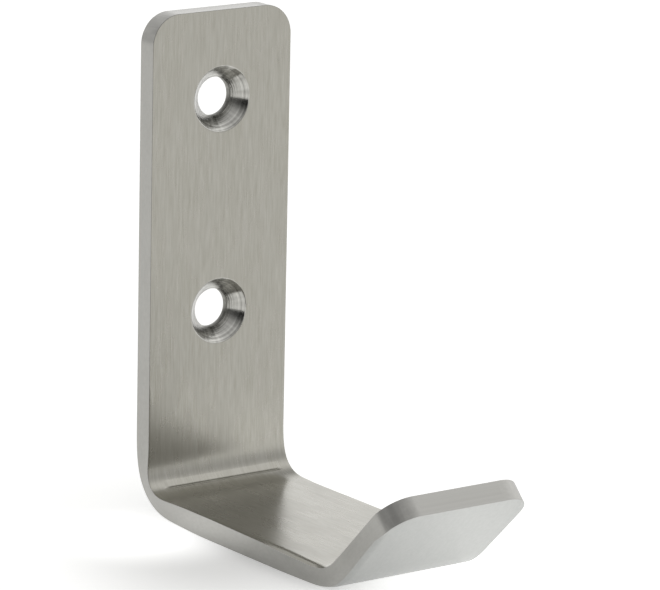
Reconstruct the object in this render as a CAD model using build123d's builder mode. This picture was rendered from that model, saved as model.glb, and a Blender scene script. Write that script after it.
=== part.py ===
from build123d import *
from math import cos, radians, sin, tan
import os

os.makedirs("parts", exist_ok=True)

# Coat hook folded from one strip of brushed stainless sheet: an upright plate with
# two countersunk screw holes, a level arm, and a tip that turns up and outwards.
# X is across the strip, +Y goes into the wall and +Z is up. The origin is on the
# plate's back face, midway between the two screws.

# strip
sheet = 3.0
strip_width = 22.5
edge_round = 0.25  # tumbled edges, all round both skins

# plate
screw_spacing = 29.5
top_margin = 12.2  # upper screw to the plate's top edge
arm_drop = 27.3  # lower screw to the underside of the arm
plate_corner = 4.2

# arm and tip, measured on the outer skin to where its straight lines would meet
arm_length = 46.3
tip_length = 18.5
tip_angle = 45.0  # above the arm's line
tip_corner = 4.2

# inside radii of the two folds
fold_inside = 3.8
tip_fold_inside = 6.5

# the line that the press tool's nose left inside the plate's fold
press_line_turn = 53.0  # degrees round the fold, from the plate
press_line_margin = 1.9  # short of each edge of the strip
press_line_width = 0.5
press_line_depth = 0.12

# screw holes
hole_diameter = 5.5
head_diameter = 9.3
head_angle = 107.0
rim_round = 0.12  # deburred rims

plate_top = screw_spacing / 2 + top_margin
underside = -screw_spacing / 2 - arm_drop
tip_out = cos(radians(tip_angle))
tip_up = sin(radians(tip_angle))
tip_fold_gain = sheet * tan(radians(tip_angle / 2))  # the inner skin turns this much sooner

# both skins from the plate's top, round the folds, to the tip's end, as (Y, Z)
outer_points = [
    (0, plate_top),
    (0, underside),
    (-arm_length, underside),
    (-arm_length - tip_length * tip_out, underside + tip_length * tip_up),
]
inner_points = [
    (-sheet, plate_top),
    (-sheet, underside + sheet),
    (-arm_length + tip_fold_gain, underside + sheet),
    (outer_points[-1][0] + sheet * tip_up, outer_points[-1][1] + sheet * tip_out),
]

# the press line's cutter lies in the hollow of the fold, and only its depth reaches into the sheet
press_line_radius = (press_line_width**2 / 4 + press_line_depth**2) / (2 * press_line_depth)
press_line_reach = fold_inside + press_line_depth - press_line_radius
press_line_axis = (
    0,
    -sheet - fold_inside + press_line_reach * cos(radians(press_line_turn)),
    underside + sheet + fold_inside - press_line_reach * sin(radians(press_line_turn)),
)

with BuildPart() as coat_hook:
    with BuildSketch(Plane.YZ.offset(-strip_width / 2)):
        with BuildLine():
            outer_skin = FilletPolyline(*outer_points, radius=[fold_inside + sheet, tip_fold_inside + sheet])
            inner_skin = FilletPolyline(*inner_points, radius=[fold_inside, tip_fold_inside])
            Line(outer_skin @ 0, inner_skin @ 0)
            Line(outer_skin @ 1, inner_skin @ 1)
        make_face()
    extrude(amount=strip_width)

    # rounded corners at both ends of the strip
    top_end = coat_hook.faces().sort_by(Axis.Z)[-1]
    fillet(top_end.edges().filter_by(Axis.Y), plate_corner)
    tip_end = coat_hook.faces().sort_by(Axis.Y)[0]
    fillet(tip_end.edges().filter_by(Axis.X, reverse=True), tip_corner)

    # the cut edges run round the outline between the two skins, and both their rims are eased
    across = coat_hook.edges().filter_by(lambda edge: abs(edge.length - sheet) < 0.001)
    cut_faces = coat_hook.faces().filter_by(lambda face: any(edge in across for edge in face.edges()))
    rims = ShapeList(edge for face in cut_faces for edge in face.edges() if edge not in across)
    fillet(rims, edge_round)

    # the press line is a shallow round groove across the inside of the fold
    with Locations(Plane(origin=press_line_axis, x_dir=(0, 1, 0), z_dir=(1, 0, 0))):
        Cylinder(press_line_radius, strip_width - 2 * press_line_margin, mode=Mode.SUBTRACT)

    # countersunk holes, entered from the front of the plate
    with Locations(Plane((0, -sheet, 0), x_dir=(1, 0, 0), z_dir=(0, -1, 0))):
        with GridLocations(0, screw_spacing, 1, 2):
            CounterSinkHole(hole_diameter / 2, head_diameter / 2, counter_sink_angle=head_angle)
    hole_edges = coat_hook.edges(Select.LAST).filter_by(GeomType.CIRCLE).group_by(Axis.Y)
    fillet(hole_edges[0] + hole_edges[-1], rim_round)

coat_hook.part.label = "coat_hook"
export_step(coat_hook.part, "parts/coat_hook.step")
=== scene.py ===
import math

import bmesh
import bpy
from mathutils import Matrix, Vector


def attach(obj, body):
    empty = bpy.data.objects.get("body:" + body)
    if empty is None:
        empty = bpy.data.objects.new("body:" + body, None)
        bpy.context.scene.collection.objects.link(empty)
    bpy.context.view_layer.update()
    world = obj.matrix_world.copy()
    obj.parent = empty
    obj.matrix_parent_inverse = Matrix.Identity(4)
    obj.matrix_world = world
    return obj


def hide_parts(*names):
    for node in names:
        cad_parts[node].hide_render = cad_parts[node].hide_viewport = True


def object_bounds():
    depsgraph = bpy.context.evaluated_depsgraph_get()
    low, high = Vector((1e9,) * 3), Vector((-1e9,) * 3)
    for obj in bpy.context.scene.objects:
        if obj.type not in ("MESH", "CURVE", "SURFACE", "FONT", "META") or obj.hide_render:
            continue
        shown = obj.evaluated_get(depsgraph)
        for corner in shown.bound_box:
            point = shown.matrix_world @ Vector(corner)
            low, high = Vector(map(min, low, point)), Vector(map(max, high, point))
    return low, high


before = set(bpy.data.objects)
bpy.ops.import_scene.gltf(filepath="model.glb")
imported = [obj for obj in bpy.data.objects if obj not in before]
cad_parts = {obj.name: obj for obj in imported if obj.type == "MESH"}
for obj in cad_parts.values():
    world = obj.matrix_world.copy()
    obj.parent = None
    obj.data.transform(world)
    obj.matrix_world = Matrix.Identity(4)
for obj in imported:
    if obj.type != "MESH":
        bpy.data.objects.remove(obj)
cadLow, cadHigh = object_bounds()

mm = 0.001


def hexColour(code):  # sRGB hex to the linear colour that the shaders take
    channels = [int(code[i:i + 2], 16) / 255 for i in (1, 3, 5)]
    return (*[c / 12.92 if c <= 0.04045 else ((c + 0.055) / 1.055) ** 2.4 for c in channels], 1)


def addNode(tree, kind, settings=None, links=None):  # a node, its settings and what feeds it
    node = tree.nodes.new(kind)
    for name, value in (settings or {}).items():
        if isinstance(name, int) or name in node.inputs:
            node.inputs[name].default_value = value
        else:
            setattr(node, name, value)
    for name, source in (links or {}).items():
        tree.links.new(source, node.inputs[name])
    return node


def direction(azimuth, elevation):  # degrees from straight behind the hook round to its right, and up
    azimuth, elevation = math.radians(azimuth), math.radians(elevation)
    level = math.cos(elevation)
    return Vector((math.sin(azimuth) * level, math.cos(azimuth) * level, math.sin(elevation)))


# camera: the photograph's own perspective, a long lens from the left and a little above
cameraPlace = {
    "azimuth": 36.07,  # degrees round to the left of the plate's front
    "elevation": 13.50,
    "roll": 1.19,
    "position": (-356.86, -518.69, 138.25),  # mm
    "lens": 257.4,  # mm
    "sensor": 36,
    "clip": (0.05, 20),  # m
}


def makeCamera(place):
    roll = math.radians(place["roll"])
    forward = direction(place["azimuth"], -place["elevation"])
    right = direction(place["azimuth"] + 90, 0)
    up = right.cross(forward)
    axes = (
        right * math.cos(roll) + up * math.sin(roll),
        up * math.cos(roll) - right * math.sin(roll),
        -forward,
    )
    data = bpy.data.cameras.new("photoCamera")
    data.sensor_width = place["sensor"]
    data.lens = place["lens"]
    data.clip_start, data.clip_end = place["clip"]
    camera = bpy.data.objects.new("photoCamera", data)
    camera.matrix_world = Matrix(axes).transposed().to_4x4()
    camera.location = Vector(place["position"]) * mm
    bpy.context.scene.collection.objects.link(camera)
    bpy.context.scene.camera = camera


makeCamera(cameraPlace)
print("camera made")


# the hook: one strip of 3 mm sheet, blanked flat, countersunk, then folded twice; sizes in mm
hook = {
    "width": 22.5,
    "sheet": 3.0,
    "plateTop": 26.95,  # above the middle of the two screws
    "underside": -42.05,
    "armReach": 46.3,  # wall to where arm and tip would meet, on the outer skin
    "tipLength": 18.5,
    "tipAngle": 45,
    "plateCorner": 4.2,
    "tipCorner": 4.2,
    "edgeRound": 0.25,
    "edgeSteps": 4,
    "cornerSteps": 14,
    "swellInset": 4.0,  # how far in from its sides the folds move the strip's rims
}
# each fold turns fastest at its middle and eases off over its tails, as thick sheet does in a press;
# the inner skin's rims swell out there and the outer skin's draw in
plateFold = {
    "angle": 90,
    "reach": 14.0,  # from the outer corner to where both skins run straight
    "outer": {"tail": 9.2, "swell": -0.63, "swellReach": 11.4, "swellAt": 3.0},
    "inner": {"tail": 4.9, "swell": 0.38, "swellReach": 7.8, "swellAt": 1.2},
}
tipFold = {
    "angle": hook["tipAngle"],
    "reach": 8.5,
    "outer": {"tail": 6.4, "swell": -0.36, "swellReach": 14.0, "swellAt": 1.0},
    "inner": {"tail": 2.7, "swell": 0.29, "swellReach": 8.6, "swellAt": -3.0},
}
screwHole = {
    "places": (14.75, -14.75),
    "head": 9.05,  # diameters
    "through": 5.4,
    "cone": 90,
    "rimRound": 0.14,
    "rimSteps": 3,
    "steps": 96,  # round a hole, a multiple of four
    "opening": 6.4,  # half the square of skin that is rebuilt round each hole
    "collar": 0.35,  # flat ring of skin round the rims
    "turnedPast": 0.02,  # how far past the cone's rim its finish reaches
}
# the line that the tool's nose pressed into the plate's fold, and the faintly raised land above it
toolMark = {
    "turned": 53.7,  # degrees round the inner skin
    "depth": 0.20,
    "width": 0.13,
    "land": 1.3,
    "rise": 0.055,
    "from": -9.3,  # across the strip
    "to": 9.8,
    "fade": 0.9,
    "frontSkin": 0.9,  # only what lies past this share of the thickness is marked
}
# blanking rolled the left rim over, on top of the arm's end and under the tip
rolledRim = {
    "radius": 0.8,
    "armFrom": -20.0,  # past the middle of the tip's fold, along the strip
    "armTo": 1.0,
    "tipFrom": -5.0,
    "fade": 10.0,
    "cornerFade": (-2.0, 1.0),  # past the start of the tip's corner
}
# rows and columns that the flat strip is cut into, so that it bends smoothly
bendLines = {
    "reach": 15.5,  # from each fold's middle
    "coarse": 0.8,  # between rows past the fold's tails
    "fine": 0.3,  # and on them
    "land": 0.1,  # on the land of the tool's mark
    "mark": 0.04,  # on its line
    "markReach": (-0.3, 0.36),  # from the line's middle
    "insets": (0.33, 0.4, 0.48, 0.57, 0.68, 0.8, 1, 1.4, 2, 3, 4),  # columns, in from both sides
    "clearOfRim": 0.3,  # no column is nearer to the sides than this
    "fadeSteps": 4,  # columns over each end of the mark
    "onLine": 0.0001,  # a point this near to a row or column is on it
}
touching = 0.001  # points closer than this are in one place


def turnedShare(distance, tail):  # 0 to 1 of the fold's angle, by distance from its middle
    q = 1 - min(abs(distance) / tail, 1)
    share = q / 2 - math.sin(math.pi * q) / (2 * math.pi)
    return share if distance < 0 else 1 - share


def foldSetback(angle, tail):  # from a fold's start to where its two straight lines would meet
    steps = 800  # enough for a thousandth of a millimetre
    along = across = 0
    for i in range(steps):
        turned = angle * turnedShare(((i + 0.5) / steps * 2 - 1) * tail, tail)
        along += math.cos(turned) * 2 * tail / steps
        across += math.sin(turned) * 2 * tail / steps
    return math.hypot(along, across) / (2 * math.cos(angle / 2))


def layOutStrip():  # where the folds fall on the flat strip, whose length is the mean of its skins'
    for fold in (plateFold, tipFold):
        angle = math.radians(fold["angle"])
        for skin, depth in (("outer", 0), ("inner", hook["sheet"])):
            tail = fold[skin]["tail"]
            straight = fold["reach"] - depth * math.tan(angle / 2) - foldSetback(angle, tail)
            fold[skin]["length"] = 2 * (straight + tail)
        fold["length"] = (fold["outer"]["length"] + fold["inner"]["length"]) / 2
    plateRun = hook["plateTop"] - hook["underside"] - plateFold["reach"]
    armRun = hook["armReach"] - plateFold["reach"] - tipFold["reach"]
    plateFold["middle"] = plateRun + plateFold["length"] / 2
    tipFold["middle"] = plateRun + plateFold["length"] + armRun + tipFold["length"] / 2
    return tipFold["middle"] + tipFold["length"] / 2 + hook["tipLength"] - tipFold["reach"]


stripLength = layOutStrip()
lineStep = 0.02  # mm


def skinLine(skin, depth):  # one skin of the folded strip, as (y, z) at every small step from the top
    y, z = -depth, hook["plateTop"]
    line = []
    for i in range(int(stripLength / lineStep) + 3):  # a little past its end
        turned, step = 0, lineStep
        for fold in (plateFold, tipFold):
            away = (i + 0.5) * lineStep - fold["middle"]
            ratio = fold[skin]["length"] / fold["length"]
            turned += math.radians(fold["angle"]) * turnedShare(away * ratio, fold[skin]["tail"])
            if abs(away) < fold["length"] / 2:
                step = lineStep * ratio
        line.append((y, z))
        y -= math.sin(turned) * step
        z -= math.cos(turned) * step
    return line


outerLine = skinLine("outer", 0)
innerLine = skinLine("inner", hook["sheet"])


def placeTurned(degrees):  # how far down the strip the inside of the plate's fold has turned this much
    ratio = plateFold["inner"]["length"] / plateFold["length"]
    low, high = -plateFold["inner"]["tail"], plateFold["inner"]["tail"]
    for _ in range(40):  # halved until it is far below a micrometre
        middle = (low + high) / 2
        if turnedShare(middle, plateFold["inner"]["tail"]) * plateFold["angle"] < degrees:
            low = middle
        else:
            high = middle
    return plateFold["middle"] + low / ratio


toolMark["place"] = placeTurned(toolMark["turned"])


def smoothStep(value, low, high):
    q = min(max((value - low) / (high - low), 0), 1)
    return q * q * (3 - 2 * q)


def rimDrop(inset):  # how far a round rim falls away, this far in from the strip's left side
    radius, eased = rolledRim["radius"], hook["edgeRound"]
    height = math.sqrt(radius ** 2 - max(radius - max(inset, eased), 0) ** 2)
    slope = (radius - eased) / math.sqrt(radius ** 2 - (radius - eased) ** 2)
    return radius - height + slope * max(eased - inset, 0)


def swollenBy(s, inward):  # how far the folds move the strip's sides out, this far down it
    swollen = 0
    for fold in (plateFold, tipFold):
        for skin, share in ((fold["outer"], 1 - inward), (fold["inner"], inward)):
            q = min(abs(s - fold["middle"] - skin["swellAt"]) / skin["swellReach"], 1)
            swollen += skin["swell"] * share * math.cos(q * math.pi / 2) ** 2
    return swollen


def pressedBy(x, s):  # how deep the tool's mark is here; less than nothing on its land
    ends = smoothStep(x, toolMark["from"], toolMark["from"] + toolMark["fade"])
    ends *= 1 - smoothStep(x, toolMark["to"] - toolMark["fade"], toolMark["to"])
    away = s - toolMark["place"]
    pressed = toolMark["depth"] * math.exp(-((away / toolMark["width"]) ** 2))
    onLand = 1 + 2 * away / toolMark["land"]  # -1 to 1 down the land
    if abs(onLand) < 1:
        pressed -= toolMark["rise"] * (1 - onLand ** 2)
    return pressed * ends


def rolledBy(x, s, inward):  # how far the rolled left rim moves the skins towards the front
    past, fade = s - tipFold["middle"], rolledRim["fade"]
    onArm = smoothStep(past, rolledRim["armFrom"], rolledRim["armFrom"] + fade)
    onArm *= 1 - smoothStep(past, rolledRim["armTo"] - fade / 2, rolledRim["armTo"])
    onTip = smoothStep(past, rolledRim["tipFrom"], rolledRim["tipFrom"] + fade)
    corner = stripLength - hook["tipCorner"]
    onTip *= 1 - smoothStep(s, *(corner + way for way in rolledRim["cornerFade"]))
    return rimDrop(hook["width"] / 2 + x) * (onTip * (1 - inward) - onArm * inward)


def foldedPlace(co):  # from the flat strip (x, length, thickness) to the finished hook
    x, s, t = co
    half = hook["width"] / 2
    inward = t / hook["sheet"]
    if inward > toolMark["frontSkin"]:
        t -= pressedBy(x, s)
    t += rolledBy(x, s, inward)
    nearRim = smoothStep(abs(x), half - hook["swellInset"], half)
    x += swollenBy(s, inward) * nearRim * math.copysign(1, x)
    i = min(max(s / lineStep, 0), len(outerLine) - 2)
    outer, inner = (
        Vector(line[int(i)]).lerp(Vector(line[int(i) + 1]), i - int(i)) for line in (outerLine, innerLine)
    )
    y, z = outer + (inner - outer) * (t / hook["sheet"])
    return Vector((x, y, z))


def spanned(low, high, step):
    count = max(1, round((high - low) / step))
    return [low + (high - low) * i / count for i in range(count + 1)]


def atOpening(co):
    reach = screwHole["opening"] + touching
    tops = [hook["plateTop"] - place for place in screwHole["places"]]
    return any(abs(co.x) < reach and abs(co.y - top) < reach for top in tops)


def blankStrip():  # the flat outline with its round corners
    strip = bmesh.new()
    bmesh.ops.create_grid(strip, x_segments=1, y_segments=1, size=1)
    bmesh.ops.scale(strip, vec=(hook["width"] / 2, stripLength / 2, 1), verts=strip.verts)
    bmesh.ops.translate(strip, vec=(0, stripLength / 2, 0), verts=strip.verts)
    for end, corner in ((0, "plateCorner"), (stripLength, "tipCorner")):
        bmesh.ops.bevel(
            strip, geom=[v for v in strip.verts if abs(v.co.y - end) < touching],
            offset=hook[corner], offset_type="OFFSET", segments=hook["cornerSteps"],
            profile=0.5, affect="VERTICES", material=-1,
        )
    return strip


def cutLine(strip, place, way):  # new edges where a plane crosses the flat strip
    bmesh.ops.bisect_plane(
        strip, geom=strip.verts[:] + strip.edges[:] + strip.faces[:], dist=bendLines["onLine"],
        plane_co=place, plane_no=way,
    )


def cutRowsAndColumns(strip):
    rows = []
    fine, coarse, reach = bendLines["fine"], bendLines["coarse"], bendLines["reach"]
    for fold in (plateFold, tipFold):
        middle, tail = fold["middle"], fold["outer"]["tail"]
        rows += spanned(middle - tail, middle + tail, fine)
        rows += spanned(middle - reach, middle - tail - coarse, coarse)
        rows += spanned(middle + tail + coarse, middle + reach, coarse)
    above, below = (toolMark["place"] + way for way in bendLines["markReach"])
    rows += spanned(toolMark["place"] - toolMark["land"] - bendLines["land"], above, bendLines["land"])
    rows += spanned(above, below, bendLines["mark"])
    for place in screwHole["places"]:
        rows += [hook["plateTop"] - place + side * screwHole["opening"] for side in (-1, 1)]
    for row in sorted(rows):
        cutLine(strip, (0, row, 0), (0, 1, 0))

    half = hook["width"] / 2
    insets = (*bendLines["insets"], half - screwHole["opening"])
    columns = [side * (half - inset) for inset in insets for side in (-1, 1)]
    for end, way in (("from", 1), ("to", -1)):
        for i in range(bendLines["fadeSteps"] + 1):
            columns.append(toolMark[end] + way * toolMark["fade"] * i / bendLines["fadeSteps"])
    for column in sorted(c for c in columns if abs(c) < half - bendLines["clearOfRim"]):
        cutLine(strip, (column, 0, 0), (1, 0, 0))


def openRound(strip):  # the square of skin round each hole closes in to a ring
    quarter = math.pi / 4
    radius = screwHole["head"] / 2 + screwHole["collar"]
    for face in [f for f in strip.faces if atOpening(f.calc_center_median())]:
        top = face.calc_center_median().y
        bmesh.ops.subdivide_edges(strip, edges=face.edges[:], cuts=screwHole["steps"] // 4 - 1)
        ring = bmesh.ops.extrude_face_region(strip, geom=[face])
        for v in [g for g in ring["geom"] if isinstance(g, bmesh.types.BMVert)]:
            x, y = v.co.x, v.co.y - top
            if abs(x) > abs(y):
                angle = quarter * y / abs(x) if x > 0 else math.pi - quarter * y / abs(x)
            else:
                angle = math.pi / 2 - quarter * x / abs(y) if y > 0 else -math.pi / 2 + quarter * x / abs(y)
            v.co = Vector((radius * math.cos(angle), top + radius * math.sin(angle), 0))
    inside = [f for f in strip.faces if len(f.verts) == screwHole["steps"]]
    bmesh.ops.delete(strip, geom=inside, context="FACES")


def thicken(strip):  # to the sheet's thickness, with eased rims and the holes still open
    raised = bmesh.ops.extrude_face_region(strip, geom=strip.faces[:], use_keep_orig=True)
    skin = [v for v in raised["geom"] if isinstance(v, bmesh.types.BMVert)]
    bmesh.ops.translate(strip, vec=(0, 0, hook["sheet"]), verts=skin)
    bmesh.ops.recalc_face_normals(strip, faces=strip.faces[:])
    walls = [f for f in strip.faces if abs(f.normal.z) < 0.5]
    bmesh.ops.delete(strip, geom=[f for f in walls if atOpening(f.calc_center_median())], context="FACES")
    rims = [
        e for e in strip.edges
        if len(e.link_faces) == 2 and sorted(abs(f.normal.z) > 0.5 for f in e.link_faces) == [False, True]
    ]
    bmesh.ops.bevel(
        strip, geom=rims, offset=hook["edgeRound"], offset_type="OFFSET", segments=hook["edgeSteps"],
        profile=0.5, affect="EDGES", clamp_overlap=True, material=-1,
    )


def cutHole(strip, place):  # a spun countersink, welded into the openings of both skins
    sheet, collar = hook["sheet"], screwHole["collar"]
    top = hook["plateTop"] - place
    headR, holeR = screwHole["head"] / 2, screwHole["through"] / 2
    depth = (headR - holeR) / math.tan(math.radians(screwHole["cone"] / 2))

    def onRing(v, radius, level):
        return abs(math.hypot(v.co.x, v.co.y - top) - radius) + abs(v.co.z - level) < touching

    bmesh.ops.scale(
        strip, vec=((holeR + collar) / (headR + collar),) * 2 + (1,), space=Matrix.Translation((0, -top, 0)),
        verts=[v for v in strip.verts if onRing(v, headR + collar, 0)],
    )
    outline = [
        (headR + collar, sheet), (headR, sheet), (holeR, sheet - depth), (holeR, 0), (holeR + collar, 0),
    ]
    points = [strip.verts.new((r, top, t)) for r, t in outline]
    edges = [strip.edges.new(pair) for pair in zip(points, points[1:])]
    bmesh.ops.spin(
        strip, geom=points + edges, cent=(0, top, 0), axis=(0, 0, 1), angle=2 * math.pi,
        steps=screwHole["steps"], use_merge=True,
    )
    rings = [
        e for e in strip.edges
        if any(all(onRing(v, *ring) for v in e.verts) for ring in ((headR, sheet), (holeR, 0)))
    ]
    bmesh.ops.bevel(
        strip, geom=rings, offset=screwHole["rimRound"], offset_type="OFFSET", segments=screwHole["rimSteps"],
        profile=0.5, affect="EDGES", clamp_overlap=True, material=-1,
    )
    bmesh.ops.remove_doubles(strip, verts=strip.verts[:], dist=touching)


def outlinePlace(x, s):  # distance in from the strip's outline, and distance round it
    half = hook["width"] / 2
    atTop = s < stripLength / 2
    radius = hook["plateCorner" if atTop else "tipCorner"]
    side, end = half - abs(x), s if atTop else stripLength - s
    if side < radius and end < radius:
        angle = math.atan2(radius - end, radius - side)
        inset = radius - math.hypot(radius - end, radius - side)
        run = radius * angle
    elif side < end:
        return side, s
    else:
        inset = end
        run = radius * math.pi / 2 + half - radius - abs(x)
    return inset, radius - run if atTop else stripLength - radius + run


# where each surface starts on the UV map, in mm, so that no two share their marks
grainPlace = {
    "back": 100,
    "edges": 200,
    "rightEdge": 50,
    "holes": 300,
    "ringRadius": 3.5,  # the length of the marks round a cone is true at this radius
}
# how level a face lies on the flat strip: 1 on the skins, 0 on the cut walls
levels = {
    "ring": 0.999,  # the flat rings of skin round the holes, and nothing less level
    "skin": 0.98,  # a skin, with the flattest step of its eased rim
    "slope": 0.1,  # cones and rims, but no wall
}
finishes = ("brushed", "tumbled", "turned", "milled", "punched", "shadedRim")  # the order of the materials


def holeAt(middle):  # the screw hole that a face belongs to
    reach = screwHole["head"] / 2 + screwHole["turnedPast"]
    for place in screwHole["places"]:
        if math.hypot(middle.x, middle.y - hook["plateTop"] + place) < reach:
            return place
    return None


def paintGrain(strip):  # a UV map in mm: u across the brush marks, v along them
    grain = strip.loops.layers.uv.new("grain")
    sheet = hook["sheet"]
    for face in strip.faces:
        middle = face.calc_center_median()
        isFront = middle.z > sheet / 2
        level = abs(face.normal.z)
        hole = holeAt(middle)
        if hole is not None and level <= levels["ring"]:
            top = hook["plateTop"] - hole
            facing = math.atan2(middle.y - top, middle.x)
            for loop in face.loops:
                x, s, t = loop.vert.co
                angle = math.atan2(s - top, x)
                angle += 2 * math.pi * round((facing - angle) / (2 * math.pi))  # no seam within a face
                across = math.hypot(x, s - top) + t
                loop[grain].uv = (grainPlace["holes"] + across, grainPlace["ringRadius"] * angle)
            finish = "turned" if level > levels["slope"] else "punched"
        elif level > levels["skin"]:
            for loop in face.loops:
                x, s, t = loop.vert.co
                loop[grain].uv = (x + (0 if isFront else grainPlace["back"]), s)
            finish = "brushed" if isFront else "milled"
        else:
            start = grainPlace["edges"] + (grainPlace["rightEdge"] if middle.x > 0 else 0)
            for loop in face.loops:  # u crosses the front rim, then the wall, then the back rim
                x, s, t = loop.vert.co
                inset, run = outlinePlace(x, s)
                loop[grain].uv = (start + sheet - t + (-inset if isFront else inset), run)
            # the rim round the plate's front takes the dark colour of painted shade
            onPlateRim = level > levels["slope"] and isFront and middle.y < plateFold["middle"]
            finish = "shadedRim" if onPlateRim else "tumbled"
        face.material_index = finishes.index(finish)


strip = blankStrip()
cutRowsAndColumns(strip)
openRound(strip)
thicken(strip)
for place in screwHole["places"]:
    cutHole(strip, place)
bmesh.ops.recalc_face_normals(strip, faces=strip.faces[:])
paintGrain(strip)
for v in strip.verts:
    v.co = foldedPlace(v.co) * mm
strip.normal_update()
bmesh.ops.recalc_face_normals(strip, faces=strip.faces[:])
for face in strip.faces:
    face.smooth = True
print("open edges", sum(len(e.link_faces) != 2 for e in strip.edges), "faces", len(strip.faces))
mesh = bpy.data.meshes.new("foldedStrip")
strip.to_mesh(mesh)
strip.free()
hookPiece = bpy.data.objects.new("foldedStrip", mesh)
bpy.context.scene.collection.objects.link(hookPiece)
weighted = hookPiece.modifiers.new("evenShading", "WEIGHTED_NORMAL")
weighted.mode = "FACE_AREA"
weighted.weight = 50
weighted.keep_sharp = False
print("hook folded")


# stainless steel, as its six surfaces were made; lengths are mm on the UV map "grain"
noiseRange = {"From Min": 0.3, "From Max": 0.7}  # where most of a noise's values lie


def startSteel(name, anisotropy=0.0):  # a bare metal shader and its UV map in mm
    material = bpy.data.materials.new(name)
    material.use_nodes = True
    tree = material.node_tree
    shader = tree.nodes["Principled BSDF"]
    shader.inputs["Metallic"].default_value = 1.0
    shader.inputs["Anisotropic"].default_value = anisotropy
    grain = addNode(tree, "ShaderNodeUVMap", {"uv_map": "grain"})
    if anisotropy:
        tangent = addNode(tree, "ShaderNodeTangent", {"direction_type": "UV_MAP", "uv_map": "grain"})
        tree.links.new(tangent.outputs[0], shader.inputs["Tangent"])
    return material, tree, shader, grain.outputs[0]


def addMarks(tree, grain, size, detail=2.0):  # noise whose marks are this wide and long, in mm
    width, length = size
    stretched = addNode(tree, "ShaderNodeMapping", {"Scale": (1 / width, 1 / length, 1)}, {"Vector": grain})
    marks = addNode(
        tree, "ShaderNodeTexNoise",
        {"noise_dimensions": "2D", "Scale": 1.0, "Detail": detail, "Roughness": 0.55},
        {"Vector": stretched.outputs[0]},
    )
    return marks.outputs[0]


# colour, gloss and relief from the marks; a Mix node's sockets go by number: 0 is the share,
# 2 and 3 are its numbers, 6 and 7 its colours, and its colour comes out of 2
def finishSteel(tree, shader, finish, marks, clouds):
    mixed = addNode(
        tree, "ShaderNodeMix", {"data_type": "FLOAT", 0: finish["cloudShare"]}, {2: marks, 3: clouds},
    )
    tone = addNode(tree, "ShaderNodeMapRange", noiseRange, {"Value": mixed.outputs[0]})
    colour = addNode(
        tree, "ShaderNodeMix",
        {"data_type": "RGBA", 6: hexColour(finish["dark"]), 7: hexColour(finish["light"])},
        {0: tone.outputs["Result"]},
    )
    tree.links.new(colour.outputs[2], shader.inputs["Base Color"])
    low, high = finish["roughness"]
    gloss = addNode(
        tree, "ShaderNodeMapRange", {**noiseRange, "To Min": low, "To Max": high}, {"Value": clouds},
    )
    tree.links.new(gloss.outputs["Result"], shader.inputs["Roughness"])
    relief = addNode(
        tree, "ShaderNodeBump", {"Strength": 1.0, "Distance": finish["ridge"] * mm}, {"Height": marks},
    )
    tree.links.new(relief.outputs[0], shader.inputs["Normal"])


# brushed stainless: a belt drawn along the strip leaves hairlines that spread light across them;
# real hairlines are about 0.05 mm wide, and the finest here are 0.17 mm, so that they show
brushedSteel = {
    "dark": "#9A988F",
    "light": "#ACAAA3",
    "roughness": (0.25, 0.31),
    "anisotropy": 0.5,
    "wide": (0.42, 7.0),  # width and length of the marks
    "fine": (0.17, 3.0),
    "fineShare": 0.55,
    "clouds": (3.5, 9.0),
    "cloudShare": 0.18,
    "ridge": 0.005,
}


def makeBrushedStainless(finish):
    material, tree, shader, grain = startSteel("brushedStainless", finish["anisotropy"])
    wide = addMarks(tree, grain, finish["wide"])
    fine = addMarks(tree, grain, finish["fine"])
    hairlines = addNode(
        tree, "ShaderNodeMix", {"data_type": "FLOAT", 0: finish["fineShare"]}, {2: wide, 3: fine},
    )
    clouds = addMarks(tree, grain, finish["clouds"])
    finishSteel(tree, shader, finish, hairlines.outputs[0], clouds)
    return material


# turned countersink: the cutter leaves bright rings round the cone and faint chatter across them
turnedSteel = {
    "dark": "#8A8984",
    "light": "#CDCCC7",
    "roughness": (0.16, 0.24),
    "anisotropy": 0.5,
    "rings": (0.40, 12.0),
    "chatter": (6.0, 0.6),
    "chatterDetail": 1.0,
    "cloudShare": 0.3,  # the chatter's share
    "ridge": 0.016,
}


def makeTurnedCountersink(finish):
    material, tree, shader, grain = startSteel("turnedCountersink", finish["anisotropy"])
    rings = addMarks(tree, grain, finish["rings"])
    chatter = addMarks(tree, grain, finish["chatter"], finish["chatterDetail"])
    finishSteel(tree, shader, finish, rings, chatter)
    return material


# mill face: the strip's other side was only rolled and tumbled, so it is dull and faintly cloudy
milledSteel = {
    "dark": "#A7A8A6",
    "light": "#B2B3B1",
    "roughness": (0.34, 0.42),
    "fine": (0.5, 0.8),
    "clouds": (2.4, 4.0),
    "cloudShare": 0.6,
    "ridge": 0.003,
}
# cut edge: sheared, then tumbled in ceramic chips, which leaves it satin with no direction
tumbledSteel = {
    "dark": "#A1A09C",
    "light": "#ACABA7",
    "roughness": (0.30, 0.38),
    "fine": (0.35, 0.7),
    "clouds": (2.5, 6.0),
    "cloudShare": 0.6,
    "ridge": 0.002,
}
# punched hole: the sheet tore through below the cone, so the short wall is dull, dark and uneven
punchedSteel = {
    "dark": "#64635F",
    "light": "#9A9994",
    "roughness": (0.30, 0.42),
    "fine": (0.3, 0.9),
    "clouds": (1.5, 2.5),
    "cloudShare": 0.5,
    "ridge": 0.010,
}
# rim round the plate's front: a satin line whose dark colour is painted shade, standing in for the dark
# reflection along it
paintedShadeRimSteel = {
    "dark": "#5C5B59",
    "light": "#6A6967",
    "roughness": (0.34, 0.42),
    "fine": (0.2, 1.5),
    "clouds": (1.0, 8.0),
    "cloudShare": 0.6,
    "ridge": 0.002,
}


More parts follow.
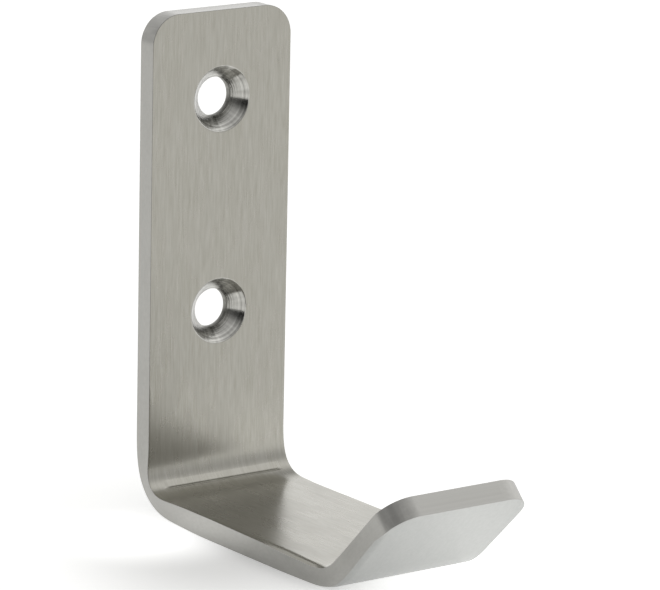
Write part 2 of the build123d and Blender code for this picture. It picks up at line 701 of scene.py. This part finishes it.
def makeDullSteel(name, finish):  # speckle and clouds that spread light the same every way
    material, tree, shader, grain = startSteel(name)
    speckle = addMarks(tree, grain, finish["fine"])
    clouds = addMarks(tree, grain, finish["clouds"])
    finishSteel(tree, shader, finish, speckle, clouds)
    return material


steels = {
    "brushed": makeBrushedStainless(brushedSteel),
    "tumbled": makeDullSteel("tumbledEdge", tumbledSteel),
    "turned": makeTurnedCountersink(turnedSteel),
    "milled": makeDullSteel("milledStainless", milledSteel),
    "punched": makeDullSteel("punchedWall", punchedSteel),
    "shadedRim": makeDullSteel("paintedShadeRim", paintedShadeRimSteel),
}
for finish in finishes:
    mesh.materials.append(steels[finish])
print("steel finished")
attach(hookPiece, "root")
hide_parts("coat_hook")


# studio: a pale floor under an even white tent, brighter behind the hook and to its right
studio = {
    "floorSize": 4.0,  # m
    "floor": "#F4F4F2",
    "floorRoughness": 0.9,
    "glow": 0.46,  # what lifts the whole floor to white
    "evenLight": 0.30,
    "darkest": 0.02,  # the tent's least light
}
# soft lights in the tent, in degrees: azimuth is from behind the hook round to its right
tentLights = {
    "backdrop": {"azimuth": 36, "elevation": 8, "spread": 25, "strength": 1.14},
    "backHigh": {"azimuth": 2, "elevation": 37, "spread": 22, "strength": 0.55},
    "right": {"azimuth": 90, "elevation": 10, "spread": 25, "strength": 1.26},
    "rightHigh": {"azimuth": 106, "elevation": 49, "spread": 28, "strength": 0.72},
    "front": {"azimuth": 144, "elevation": 2, "spread": 16, "strength": 0.60},
    "frontHigh": {"azimuth": 138, "elevation": 42, "spread": 26, "strength": 0.36},
    "leftHigh": {"azimuth": 210, "elevation": 50, "spread": 30, "strength": 0.45},
    "left": {"azimuth": 278, "elevation": 26, "spread": 10, "strength": 0.45},
    "leftBack": {"azimuth": 330, "elevation": 14, "spread": 22, "strength": 0.62},
    "lens": {"azimuth": 228, "elevation": 8, "spread": 24, "strength": -0.42},  # the opening for the camera
}
# painted pools of light (positive strength) and painted shadows (negative strength), glowing from the floor,
# in mm
paintedFloorLight = {
    "underTip": {"place": (8, -55), "reach": 28, "strength": 0.42},
    "byPlate": {"place": (21, -32), "reach": 32, "strength": 0.20},
    "byFold": {"place": (-17, -12), "reach": 16, "strength": 0.42},
    "byArm": {"place": (-19, -29), "reach": 26, "strength": -0.32},
    "byLens": {"place": (-110, -98), "reach": 90, "strength": -0.20},
}


def makeFloor(setup, patches):
    grid = bmesh.new()
    bmesh.ops.create_grid(grid, x_segments=1, y_segments=1, size=setup["floorSize"] / 2)
    bmesh.ops.translate(grid, vec=(0, 0, cadLow.z), verts=grid.verts)
    floorMesh = bpy.data.meshes.new("floor")
    grid.to_mesh(floorMesh)
    grid.free()
    floor = bpy.data.objects.new("floor", floorMesh)
    bpy.context.scene.collection.objects.link(floor)
    material = bpy.data.materials.new("paleFloor")
    material.use_nodes = True
    tree = material.node_tree
    shader = tree.nodes["Principled BSDF"]
    shader.inputs["Base Color"].default_value = hexColour(setup["floor"])
    shader.inputs["Roughness"].default_value = setup["floorRoughness"]
    shader.inputs["Specular IOR Level"].default_value = 0.0
    shader.inputs["Emission Color"].default_value = (1, 1, 1, 1)
    place = addNode(tree, "ShaderNodeTexCoord")
    # the patches add painted pools of light and painted shadows to the floor's glow
    glow = None
    for patch in patches.values():  # each adds to those before it, and the first to the even glow
        x, y = patch["place"]
        away = addNode(
            tree, "ShaderNodeVectorMath", {"operation": "DISTANCE", 1: (x * mm, y * mm, cadLow.z)},
            {0: place.outputs["Object"]},
        )
        patchGlow = addNode(
            tree, "ShaderNodeMapRange",
            {"From Min": 0.0, "From Max": patch["reach"] * mm, "To Min": patch["strength"], "To Max": 0.0,
             "interpolation_type": "SMOOTHSTEP"},
            {"Value": away.outputs["Value"]},
        )
        sources = {0: patchGlow.outputs["Result"]}
        if glow:
            sources[1] = glow.outputs[0]
        glow = addNode(tree, "ShaderNodeMath", {"operation": "ADD", 1: setup["glow"]}, sources)
    tree.links.new(glow.outputs[0], shader.inputs["Emission Strength"])
    floorMesh.materials.append(material)


def makeTent(setup, lights):  # the white world round the hook
    world = bpy.data.worlds.new("tent")
    bpy.context.scene.world = world
    world.use_nodes = True
    tree = world.node_tree
    background = tree.nodes["Background"]
    background.inputs["Color"].default_value = (1, 1, 1, 1)
    towards = addNode(tree, "ShaderNodeTexCoord")
    total = None
    for light in lights.values():  # each adds to those before it, and the first to the even light
        middle = direction(light["azimuth"], light["elevation"])
        falloff = 1 / (1 - math.cos(math.radians(light["spread"])))  # down to 1/e at the spread
        facing = addNode(
            tree, "ShaderNodeVectorMath", {"operation": "DOT_PRODUCT", 1: middle},
            {0: towards.outputs["Generated"]},
        )
        away = addNode(
            tree, "ShaderNodeMath", {"operation": "MULTIPLY_ADD", 1: falloff, 2: -falloff},
            {0: facing.outputs["Value"]},
        )
        lobe = addNode(tree, "ShaderNodeMath", {"operation": "EXPONENT"}, {0: away.outputs[0]})
        sources = {0: lobe.outputs[0]}
        if total:
            sources[2] = total.outputs[0]
        total = addNode(
            tree, "ShaderNodeMath",
            {"operation": "MULTIPLY_ADD", 1: light["strength"], 2: setup["evenLight"]}, sources,
        )
    strength = addNode(
        tree, "ShaderNodeMath", {"operation": "MAXIMUM", 1: setup["darkest"]}, {0: total.outputs[0]},
    )
    tree.links.new(strength.outputs[0], background.inputs["Strength"])


makeFloor(studio, paintedFloorLight)
makeTent(studio, tentLights)
print("studio lit")

bpy.context.scene.view_settings.view_transform = "Standard"
